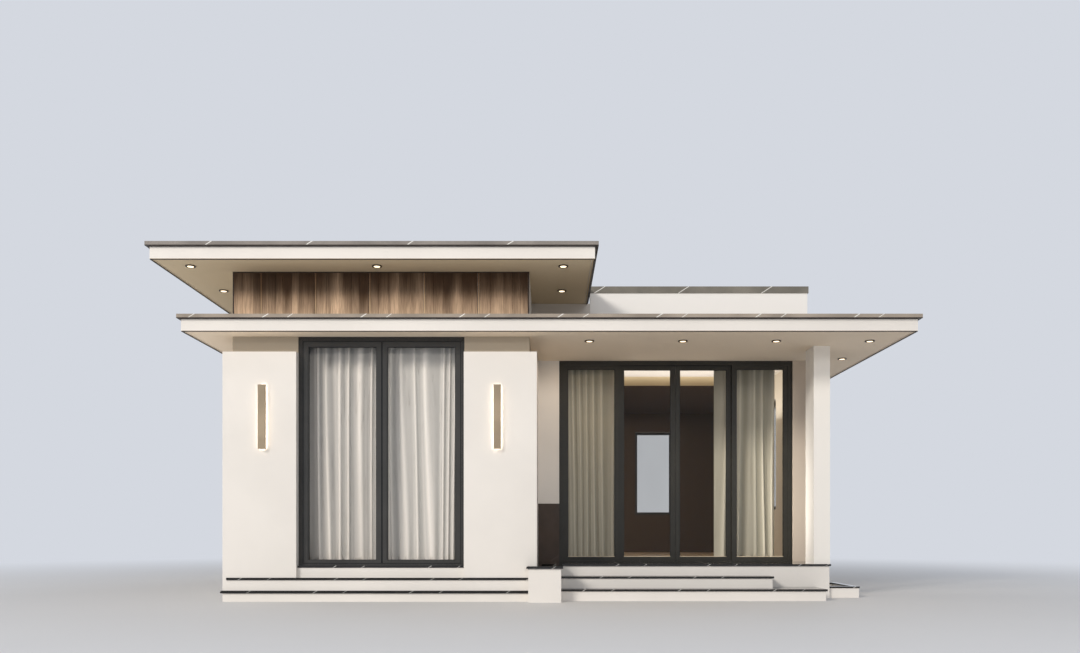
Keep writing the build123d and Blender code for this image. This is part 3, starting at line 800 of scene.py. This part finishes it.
@dataclass
class Cladding:
    """Wood boards of the clerestory front, in panels with pale joint strips."""

    seed: int = 7
    board: Span = (0.095, 0.19)
    board_gap: float = 0.0015
    board_bevel: float = 0.0015
    board_tones: Span = (0.38, 0.62)
    strip: float = 0.022
    strip_recess: float = 0.002
    strip_tone: float = 0.4
    head_trim: float = 0.018
    end_trim: float = 0.02
    trim_bevel: float = 0.001
    boards: OiledBoards = OiledBoards()
    strips: OiledBoards = OiledBoards("joint_strips", (250, 220, 182), (112, 84, 60), (100, 74, 52))
    trims: PowderCoat = PowderCoat("cladding_trim", (52, 40, 32))

    def lay_boards(self, panels: list[Corners], y: Span, z: Span) -> None:
        """Build the boards, which stand for the node.

        Args:
            panels: Corners of the cladding's panels, from left to right.
            y: Front and back of the boards.
            z: Foot and head of the boards.
        """
        draw = random.Random(self.seed)
        shape = Shape()
        tone = shape.mesh.verts.layers.float.new(TONE)
        for number, (low, high) in enumerate(panels):
            left = low.x + (self.end_trim if number == 0 else self.strip / 2)
            right = high.x - (self.end_trim if number == len(panels) - 1 else self.strip / 2)
            while right - left > self.board_gap:
                width = draw.uniform(*self.board)
                end = left + width if right - left - width > self.board[0] else right
                shade = draw.uniform(*self.board_tones)
                for vertex in shape.block((left, end - self.board_gap), y, z, self.board_bevel):
                    vertex[tone] = shade
                left = end
        made = shape.piece("cladding_boards", self.boards, Slot.WOOD)
        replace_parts(made, "wood_cladding")

    def lay_strips(self, panels: list[Corners], y: Span, z: Span) -> None:
        """Build the strips over the joints between panels."""
        shape = Shape()
        tone = shape.mesh.verts.layers.float.new(TONE)
        for (_, high), (low, _) in zip(panels, panels[1:]):
            middle = (high.x + low.x) / 2
            span = (middle - self.strip / 2, middle + self.strip / 2)
            for vertex in shape.block(span, (y[0] + self.strip_recess, y[1]), z, self.trim_bevel):
                vertex[tone] = self.strip_tone
        shape.piece("cladding_joint_strips", self.strips, Slot.WOOD)

    def build(self) -> None:
        """Build the boards, the strips and the trims."""
        panels = solid_boxes("wood_cladding")
        low, high = panels[0][0], panels[-1][1]
        head = high.z - self.head_trim
        y, z = (low.y, high.y), (low.z, head)
        self.lay_boards(panels, y, z)
        self.lay_strips(panels, y, z)
        shape = Shape()
        shape.block((low.x, high.x), y, (head, high.z), self.trim_bevel)
        for start in (low.x, high.x - self.end_trim):
            shape.block((start, start + self.end_trim), y, z, self.trim_bevel)
        shape.piece("cladding_trims", self.trims, Slot.FRAME)


@dataclass
class RoofEdges:
    """Drip beads below the fascias and a flashing below the stone caps."""

    bead: float = 0.012
    bead_setback: float = 0.002
    flashing: float = 0.005
    proud: float = 0.006
    finish: PowderCoat = PowderCoat("roof_flashing", (44, 37, 32))

    def build(self) -> None:
        """Build both roofs' beads and flashings."""
        inset = Vector((self.bead_setback, self.bead_setback, 0.0))
        out = Vector((self.proud, self.proud, 0.0))
        for roof in ("lower", "upper"):
            low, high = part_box(f"{roof}_roof_slab")
            bead, flashing = Shape(), Shape()
            under = Vector((low.x, low.y, low.z - self.bead)) + inset
            bead.ring(under, Vector((high.x, high.y, low.z)) - inset, Axis.Z, self.bead)
            foot = Vector((low.x, low.y, high.z - self.flashing))
            flashing.ring(foot - out, high + out, Axis.Z, 2 * self.proud)
            bead.piece(f"{roof}_roof_drip_bead", self.finish, Slot.FRAME)
            flashing.piece(f"{roof}_roof_flashing", self.finish, Slot.FRAME)


@dataclass
class Glazings:
    """Rubber gaskets round every pane, and a bright bead at the foot of the door's panes."""

    bite: float = 0.01
    gasket: float = 0.004
    gasket_depth: float = 0.006
    seal: float = 0.009
    seal_depth: float = 0.002
    meeting: float = 0.018
    meeting_bevel: float = 0.0005
    bead: float = 0.011
    bead_depth: float = 0.01
    bead_bevel: float = 0.001
    rubber: Rubber = Rubber()
    metal: PowderCoat = PowderCoat("pane_bead", (214, 200, 172), gloss=(0.3, 0.42), metal=0.3)

    def strip(self, pane: Corners, outside: float) -> tuple[Vector, Vector, Axis]:
        """Return a strip on one face of a pane, round the opening of its frame.

        Args:
            pane: Lowest and highest corner of the glass.
            outside: Depth of the strip, minus for the face towards low values.

        Returns:
            Lowest and highest corner of the strip, and the axis across the glass.
        """
        low, high = (corner.copy() for corner in pane)
        thin = Axis.X if high.x - low.x < high.y - low.y else Axis.Y
        for axis in Axis:
            if axis is not thin:
                low[axis] += self.bite
                high[axis] -= self.bite
        if outside < 0:
            low[thin], high[thin] = low[thin] + outside, low[thin]
        else:
            low[thin], high[thin] = high[thin], high[thin] + outside
        return low, high, thin

    def gaskets(self, name: str, nodes: tuple[str, ...], body: Body) -> None:
        """Build the gaskets of some nodes' panes, on both faces, as one piece."""
        shape = Shape()
        for node in nodes:
            for pane in solid_boxes(node):
                for side in (-1, 1):
                    shape.ring(*self.strip(pane, side * self.gasket_depth), self.gasket)
        shape.piece(name, self.rubber, Slot.FRAME, body)

    def beads(self, name: str, node: str, body: Body) -> None:
        """Build the bright foot beads of a node's panes."""
        shape = Shape()
        for pane in solid_boxes(node):
            low, high, _ = self.strip(pane, -self.bead_depth)
            rise = (low.z, low.z + self.bead)
            shape.block((low.x, high.x), (low.y, high.y), rise, self.bead_bevel)
        shape.piece(name, self.metal, Slot.FRAME, body)

    def seals(self) -> None:
        """Build the seals round the tall window's sashes and the strip over their meeting line."""
        shape = Shape()
        sashes = solid_boxes("window_sashes")
        for low, high in sashes:
            near = Vector((low.x, low.y - self.seal_depth, low.z))
            shape.ring(near, Vector((high.x, low.y, high.z)), Axis.Y, self.seal)
        (low, left), (right, high) = sashes
        middle = (left.x + right.x) / 2
        span = (middle - self.meeting / 2, middle + self.meeting / 2)
        front = low.y - self.seal_depth
        rise = (low.z + self.seal, high.z - self.seal)
        shape.block(span, (front - self.seal_depth, front), rise, self.meeting_bevel)
        shape.piece("sash_seals", self.rubber, Slot.FRAME)

    def build(self) -> None:
        """Build the strips of all windows and doors."""
        fixed = ("window_glass", "door_fixed_glass", "side_window_glass")
        self.seals()
        self.gaskets("pane_gaskets", fixed, Body.HOUSE)
        self.beads("door_fixed_beads", "door_fixed_glass", Body.HOUSE)
        for body in (Body.LEAF_LEFT, Body.LEAF_RIGHT):
            glass = f"{body.value}_glass"
            self.gaskets(f"{body.value}_gaskets", (glass,), body)
            self.beads(f"{body.value}_bead", glass, body)


@dataclass(frozen=True)
class Drift:
    """Soft change in a curtain: its size, its rates along and down the cloth, and its layer."""

    size: float
    along: float
    down: float
    layer: float = 0.0

    def at(self, along: float, drop: float, seed: float) -> float:
        """Return the change at one place of the cloth."""
        place = Vector((along * self.along, drop * self.down, seed + self.layer))
        return self.size * noise.noise(place)


@dataclass
class Curtain:
    """One pleated sheer curtain that hangs from its rail to just above the floor, with painted light
    and shade in its folds.
    """

    name: str
    low: Vector
    high: Vector
    seed: float
    finish: SheerCloth
    pleat: float = 0.165
    top_depth: float = 0.03
    foot_depth: float = 0.036
    edge: float = 0.004
    thickness: float = 0.001
    columns_a_pleat: int = 20
    rows: int = 28
    wander: Drift = Drift(1.35, 0.47, 0.45)
    swell: Drift = Drift(0.6, 0.8, 0.4, 9.0)
    skew: Drift = Drift(2.2, 0.3, 0.5, 31.0)
    sway: Drift = Drift(0.012, 0.5, 1.3, 20.0)
    size: float = 0.68
    sizes: Span = (0.3, 1.0)
    second_wave: float = 0.42
    third_wave: float = 0.2
    third_phase: float = 2.0
    # Tone at a fold's middle; the folds paint light on their ridges and shade in their valleys.
    tone: float = 0.52
    fold_shade_depth: float = 0.85
    fold_shade_curve: float = 1.3

    def fold(self, along: float, drop: float) -> float:
        """Return how far the cloth stands out of its middle plane.

        Args:
            along: Place along the rail, in pleats.
            drop: 0 at the rail and 1 at the hem.

        Returns:
            Depth as a share of the fold's largest depth.
        """
        place = (along, drop, self.seed)
        phase = 2 * math.pi * (along + self.wander.at(*place))
        wave = math.sin(phase) + self.second_wave * math.sin(2 * phase + self.skew.at(*place))
        wave += self.third_wave * math.sin(3 * phase + self.third_phase)
        size = min(self.sizes[1], max(self.sizes[0], self.size + self.swell.at(*place)))
        return size * wave / (1 + self.second_wave + self.third_wave)

    def build(self) -> bpy.types.Object:
        """Build the cloth."""
        shape = Shape()
        tone = shape.mesh.verts.layers.float.new(TONE)
        width, height = self.high.x - self.low.x, self.high.z - self.low.z
        pleats = max(2, round(width / self.pleat))
        columns = pleats * self.columns_a_pleat
        bmesh.ops.create_grid(shape.mesh, x_segments=columns, y_segments=self.rows, size=0.5)
        middle = (self.low.y + self.high.y) / 2
        for vertex in shape.mesh.verts:
            across, drop = vertex.co.x + 0.5, 0.5 - vertex.co.y
            along = across * pleats
            depth = self.top_depth + (self.foot_depth - self.top_depth) * drop
            fold = self.fold(along, drop)
            # Painted light and shade: the tone is paler on the ridges and darker in the valleys.
            painted_fold_light = min(1.0, max(0.0, self.tone - self.fold_shade_depth * fold))
            vertex[tone] = painted_fold_light ** self.fold_shade_curve
            sway = drop * self.sway.at(along, drop, self.seed) * math.sin(math.pi * across)
            x = self.low.x + self.edge + across * (width - 2 * self.edge) + sway
            vertex.co = Vector((x, middle + depth * fold, self.high.z - drop * height))
        area = sum(face.calc_area() for face in shape.mesh.faces)
        bmesh.ops.solidify(shape.mesh, geom=shape.mesh.faces, thickness=self.thickness)
        made = shape.piece(self.name, self.finish, Slot.CLOTH)
        for polygon in made.data.polygons:
            polygon.use_smooth = True
        return made


@dataclass
class Curtains:
    """All curtains, each in the space of its CAD solid."""

    seed: float = 1.0
    seed_step: float = 3.7
    window_cloth: SheerCloth = SheerCloth()
    # Painted light: a paler copy of the window cloth, for the curtain of the right window.
    painted_light_cloth: SheerCloth = SheerCloth("painted_light_cloth", (254, 250, 243), (186, 185, 181))
    # Painted shade: a darker, yellower copy of the sheer for the curtains behind the door.
    painted_shade_door_cloth: SheerCloth = SheerCloth("painted_shade_door_cloth", (225, 220, 201), (163, 158, 140))

    def build(self) -> None:
        """Build the curtains from the window to the door."""
        cloths = {
            "window_curtain_left": self.window_cloth, "window_curtain_right": self.painted_light_cloth,
            "door_curtain_left": self.painted_shade_door_cloth, "door_curtain_right": self.painted_shade_door_cloth,
        }
        boxes = solid_boxes("curtains")
        for number, ((name, cloth), corners) in enumerate(zip(cloths.items(), boxes)):
            curtain = Curtain(name, *corners, self.seed + self.seed_step * number, cloth)
            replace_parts(curtain.build(), "curtains")


@dataclass
class Lamps:
    """Lit parts of the wall lamps and of the downlights in the soffits."""

    standoff: float = 0.02
    back_inset: float = 0.024
    diffuser: float = 0.008
    diffuser_gap: float = 0.002
    diffuser_slack: float = 0.0005
    lens_radius: float = 0.044
    lens_recess: float = 0.004
    lens_depth: float = 0.0036
    lens_bevel: float = 0.0012
    strip_glow: Glow = Glow("lamp_diffuser", (255, 247, 234), 14.0)
    lens_glow: Glow = Glow("downlight_lens", (255, 230, 192), 2.2)

    def build(self) -> None:
        """Build the diffusers and the lenses."""
        edge = self.back_inset - self.diffuser
        inset = Vector((edge, 0.0, edge))
        strips, lenses = Shape(), Shape()
        for low, high in solid_boxes("wall_lamps"):
            near = Vector((low.x, high.y - self.standoff + self.diffuser_gap, low.z)) + inset
            far = Vector((high.x, high.y - self.diffuser_gap, high.z)) - inset
            strips.ring(near, far, Axis.Y, self.diffuser - self.diffuser_slack)
        for low, high in solid_boxes("soffit_downlights"):
            level = low.z + self.lens_recess - self.lens_depth / 2
            centre = ((low.x + high.x) / 2, (low.y + high.y) / 2, level)
            lenses.disc(centre, self.lens_radius, self.lens_depth, self.lens_bevel)
        strips.piece("wall_lamp_diffusers", self.strip_glow, Slot.LAMP)
        lenses.piece("downlight_lenses", self.lens_glow, Slot.TRIM)


@dataclass
class Fabric:
    """Finishes of the frame's own nodes."""

    # Brown paint that is partly painted shade in the rooms; painted light on the pale side wall and
    # the cream ceiling band by the door.
    room_paint_and_shade: Colour = (76, 60, 44)
    cream_painted_light: Colour = (235, 230, 222)
    side_painted_light: Colour = (238, 228, 210)
    # Painted shade on the right door pier; painted light on the porch column.
    pier_painted_shade: Colour = (198, 184, 168)
    column_painted_light: Colour = (243, 239, 232)
    # Painted light: tan ceiling band by the door, behind the cream one.
    tan_painted_light: Colour = (230, 211, 172)
    # Painted shade: the soffits' warm tan, darker on the upper soffit.
    lower_soffit_painted_shade: Colour = (245, 228, 205)
    upper_soffit_painted_shade: Colour = (218, 201, 171)
    # Painted shade on the strip over the panels and on the parapet under the upper roof; painted
    # light on the rest of the parapet.
    recess_painted_shade: Colour = (184, 173, 156)
    parapet_painted_light: Colour = (252, 249, 244)
    overhang_painted_shade: Colour = (222, 216, 208)
    margin: float = 0.003
    cream_depth: float = 1.365
    tan_depth: float = 2.4
    cap_upper: VeinedStone = VeinedStone(
        "upper_cap_stone", (150, 143, 136), first=-4.504, second=0.0, level=5.04, dark_line=4.985,
    )
    # Painted light: the lower cap's stone is paler than the upper cap's.
    cap_lower: VeinedStone = VeinedStone("lower_cap_stone", (168, 156, 142), dark_line=4.035)
    coping: VeinedStone = VeinedStone(
        "coping_stone", (138, 133, 122), first=2.419, second=0.0, level=5.04,
    )
    steps: VeinedStone = VeinedStone(
        "step_stone", (30, 27, 26), first=1.225, second=0.42, level=0.5, half=0.005,
        gloss=(0.05, 0.09), reliefs=((Grain(60.0), Bump(0.0004, 0.05)),),
    )
    dado: VeinedStone = VeinedStone(
        "dado_stone", (76, 63, 54), vein=(96, 82, 72), pitch=2.0, second=0.0, level=0.5,
    )
    bands: VeinedStone = VeinedStone(
        "band_stone", (17, 15, 14), first=1.225, second=0.42, level=0.3, half=0.004,
    )
    frames: PowderCoat = PowderCoat("anthracite_coat", (46, 44, 38))
    sashes: PowderCoat = PowderCoat("sash_coat", (56, 55, 53))
    bronze: PowderCoat = PowderCoat("lamp_coat", (160, 144, 121), gloss=(0.4, 0.52), metal=0.2)
    trims: PowderCoat = PowderCoat("downlight_coat", (38, 29, 22), gloss=(0.4, 0.52), metal=0.2)
    rails: BrushedMetal = BrushedMetal("rail_coat", (190, 190, 190))
    side_glazing: Glazing = Glazing("side_glazing", (214, 214, 211))

    def paint(self, low: Vector, high: Vector, colour: Colour | None = None) -> Patch:
        """Return the patch of a box that takes in its own faces."""
        small = Vector((self.margin, self.margin, self.margin))
        return Patch(tuple(low - small), tuple(high + small), colour)

    def soffits(self) -> list[Patch]:
        """Return the undersides of both roof slabs, in warm tints that are painted shade."""
        patches = []
        for roof, colour in (("lower", self.lower_soffit_painted_shade), ("upper", self.upper_soffit_painted_shade)):
            low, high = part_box(f"{roof}_roof_slab")
            patches.append(self.paint(low, Vector((high.x, high.y, low.z)), colour))
        return patches

    def walls(self) -> list[Patch]:
        """Return painted shade on the pier, the strip over the panels and the parapet under the roof,
        and painted light on the column and the parapet.
        """
        low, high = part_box("parapet_front")
        shaded = Vector((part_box("upper_roof_cap")[1].x - self.margin, low.y, high.z))
        left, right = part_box("block_front_piers")
        head = Vector((left.x, left.y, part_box("front_panels")[1].z + 2 * self.margin))
        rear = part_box("left_wall")[1].y - 2 * self.margin
        return [
            self.paint(*solid_boxes("door_piers")[-1], self.pier_painted_shade),
            self.paint(*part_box("porch_column"), self.column_painted_light),
            self.paint(low, high, self.parapet_painted_light),
            self.paint(low, shaded, self.overhang_painted_shade),
            self.paint(head, Vector((right.x, rear, right.z)), self.recess_painted_shade),
        ]

    def rooms(self) -> list[Patch]:
        """Return the walls and ceilings of the rooms: dark brown that is partly painted shade, and a
        pale side wall and ceiling bands by the door that are painted light.
        """
        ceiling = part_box("left_wall")[1].z
        rooms = solid_boxes("floor_tiles")
        patches = [
            self.paint(low, Vector((high.x, high.y, ceiling)), self.room_paint_and_shade)
            for low, high in rooms
        ]
        low, high = max(rooms, key=lambda room: room[1].x)
        side = Vector((high.x, low.y, low.z))
        patches.append(self.paint(side, Vector((high.x, high.y, ceiling)), self.side_painted_light))
        above = Vector((low.x, low.y, ceiling))
        for depth, colour in ((self.tan_depth, self.tan_painted_light), (self.cream_depth, self.cream_painted_light)):
            patches.append(self.paint(above, Vector((high.x, low.y + depth, ceiling)), colour))
        return patches

    def roof_tops(self) -> list[Patch]:
        """Return the screeded tops of both roof slabs."""
        boxes = [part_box(f"{roof}_roof_slab") for roof in ("lower", "upper")]
        return [self.paint(Vector((low.x, low.y, high.z)), high) for low, high in boxes]

    def build(self) -> None:
        """Give every node of the frame its finish."""
        patches = (*self.soffits(), *self.walls(), *self.rooms(), *self.roof_tops())
        special = {
            "upper_roof_cap": self.cap_upper, "lower_roof_cap": self.cap_lower,
            "parapet_coping": self.coping, "door_dado": self.dado, "base_bands": self.bands,
            "window_sashes": self.sashes, "window_frame": self.sashes,
            "side_window_glass": self.side_glazing,
        }
        by_slot = {
            Slot.RENDER: RenderCoat(patches=patches), Slot.STONE: self.steps,
            Slot.TILE: FloorTiles(), Slot.SCREED: SCREED, Slot.FRAME: self.frames,
            Slot.GLASS: Glazing(), Slot.WOOD: OiledBoards(), Slot.LAMP: self.bronze,
            Slot.TRIM: self.trims, Slot.CLOTH: SheerCloth(), Slot.RAIL: self.rails,
        }
        slots = {part["node"]: Slot(part["material_slot"]) for part in frame["record"]["subparts"]}
        for name, node in frame["nodes"].items():
            finish = special.get(name, by_slot[slots[name]])
            node.data.materials.clear()
            node.data.materials.append(finish.material())
            log.info("%s has %s", name, finish.name)


@dataclass(frozen=True)
class StudioLamp:
    """Soft lamp that faces a target and isn't seen itself."""

    name: str
    place: Point
    target: Point
    size: Span
    power: float
    colour: Colour = (255, 249, 241)
    spread: float = 180.0

    def hang(self) -> None:
        """Hang the lamp."""
        data = bpy.data.lights.new(self.name, "AREA")
        data.shape = "RECTANGLE"
        data.size, data.size_y = self.size
        data.spread = math.radians(self.spread)
        data.energy = self.power
        data.color = linear(self.colour)[:3]
        lamp = placed(self.name, data)
        lamp.location = self.place
        aim = Vector(self.target) - Vector(self.place)
        lamp.rotation_euler = aim.to_track_quat("-Z", "Y").to_euler()
        lamp.visible_camera = False
        lamp.visible_transmission = False
        lamp.visible_glossy = False


@dataclass
class Studio:
    """Pale floor, soft lamps, sky and camera."""

    backdrop: Colour = (212, 216, 224)
    floor: Colour = (224, 222, 219)
    floor_radius: float = 90.0
    floor_fade: Span = (5.0, 22.0)
    floor_clouds: Grain = Grain(0.6)
    floor_shade: float = 0.985
    sky: Colour = (224, 231, 244)
    sky_strength: float = 0.5
    eye: Point = (0.1275, -18.667, 1.015)
    lens: float = 30.33
    shift: Span = (-0.0065, 0.190)
    lamps: tuple[StudioLamp, ...] = (
        StudioLamp("key_lamp", (-30.0, -48.0, 25.5), (0.0, -4.0, 2.2), (14.0, 9.0), 17600.0),
        StudioLamp(
            "back_lamp", (16.0, 34.0, 17.0), (0.0, 3.5, 2.2), (14.0, 9.0), 2600.0, (244, 248, 255),
        ),
        StudioLamp("fill_lamp", (2.0, -26.0, 7.5), (2.0, -3.5, 2.0), (5.0, 2.5), 680.0),
        StudioLamp("side_lamp", (-9.5, -5.7, 0.9), (-5.0, -5.3, 4.8), (2.0, 2.0), 14.0, spread=80.0),
        StudioLamp("column_lamp", (1.3, -4.6, 1.5), (4.3, -3.8, 1.42), (0.3, 1.9), 9.5, spread=44.0),
        StudioLamp(
            "cove_lamp", (2.2, -2.4, 3.0), (2.2, -2.4, 4.0), (3.8, 0.8), 25.0, (255, 250, 244),
        ),
        StudioLamp(
            "porch_lamp", (0.9, -4.3, 3.82), (0.9, -4.3, 0.0), (1.2, 0.7), 7.5, (255, 232, 204),
        ),
        StudioLamp(
            "room_lamp", (0.0, 0.3, 3.8), (0.0, 0.3, 0.0), (7.0, 5.0), 100.0, (255, 250, 244),
        ),
    )

    def lay_floor(self) -> None:
        """Lay the floor, which fades into the backdrop far from the house."""
        recipe = Recipe("studio_floor")
        dark = scaled(self.floor, self.floor_shade)
        recipe.colour(recipe.mix(recipe.noise(self.floor_clouds), dark, self.floor))
        recipe.set("Roughness", 0.9)
        recipe.set("Specular IOR Level", 0.2)
        length = recipe.add("VectorMath")
        length.operation = "LENGTH"
        recipe.links.new(recipe.place, length.inputs[0])
        fade = recipe.between(length.outputs["Value"], self.floor_fade)
        share = recipe.math("MULTIPLY", fade, recipe.seen_directly())
        sky = recipe.add("Emission")
        sky.inputs["Color"].default_value = linear(self.backdrop)
        recipe.choose(share, recipe.shader.outputs[0], sky.outputs[0], recipe.surface)
        shape = Shape()
        bmesh.ops.create_circle(shape.mesh, cap_ends=True, segments=64, radius=self.floor_radius)
        floor = shape.made("studio_floor", recipe.material)

    def hang_sky(self) -> None:
        """Light the scene all round, and show the plain backdrop where it is seen."""
        world = bpy.data.worlds.new("sky")
        bpy.context.scene.world = world
        world.use_nodes = True
        world.node_tree.nodes.clear()
        tree = Tree(world.node_tree)
        shaders = []
        for colour, strength in ((self.sky, self.sky_strength), (self.backdrop, 1.0)):
            light = tree.add("Background")
            light.inputs["Color"].default_value = linear(colour)
            light.inputs["Strength"].default_value = strength
            shaders.append(light.outputs[0])
        tree.choose(tree.seen_directly(), *shaders, tree.add("OutputWorld").inputs["Surface"])

    def stand_camera(self) -> None:
        """Stand the level camera where the photograph was taken."""
        data = bpy.data.cameras.new("camera")
        data.lens = self.lens
        data.shift_x, data.shift_y = self.shift
        camera = placed("camera", data)
        camera.location = self.eye
        camera.rotation_euler = (math.radians(90), 0.0, 0.0)
        bpy.context.scene.camera = camera

    def build(self) -> None:
        """Set up everything round the house."""
        bpy.context.scene.view_settings.view_transform = "Standard"
        self.stand_camera()
        self.lay_floor()
        self.hang_sky()
        for lamp in self.lamps:
            lamp.hang()


def main() -> None:
    """Dress the house and set up the studio."""
    logging.basicConfig(level=logging.INFO, format="%(message)s")
    for part in (Studio(), Fabric(), Cladding(), RoofEdges(), Glazings(), Curtains(), Lamps()):
        part.build()


if __name__ == "__main__":
    main()
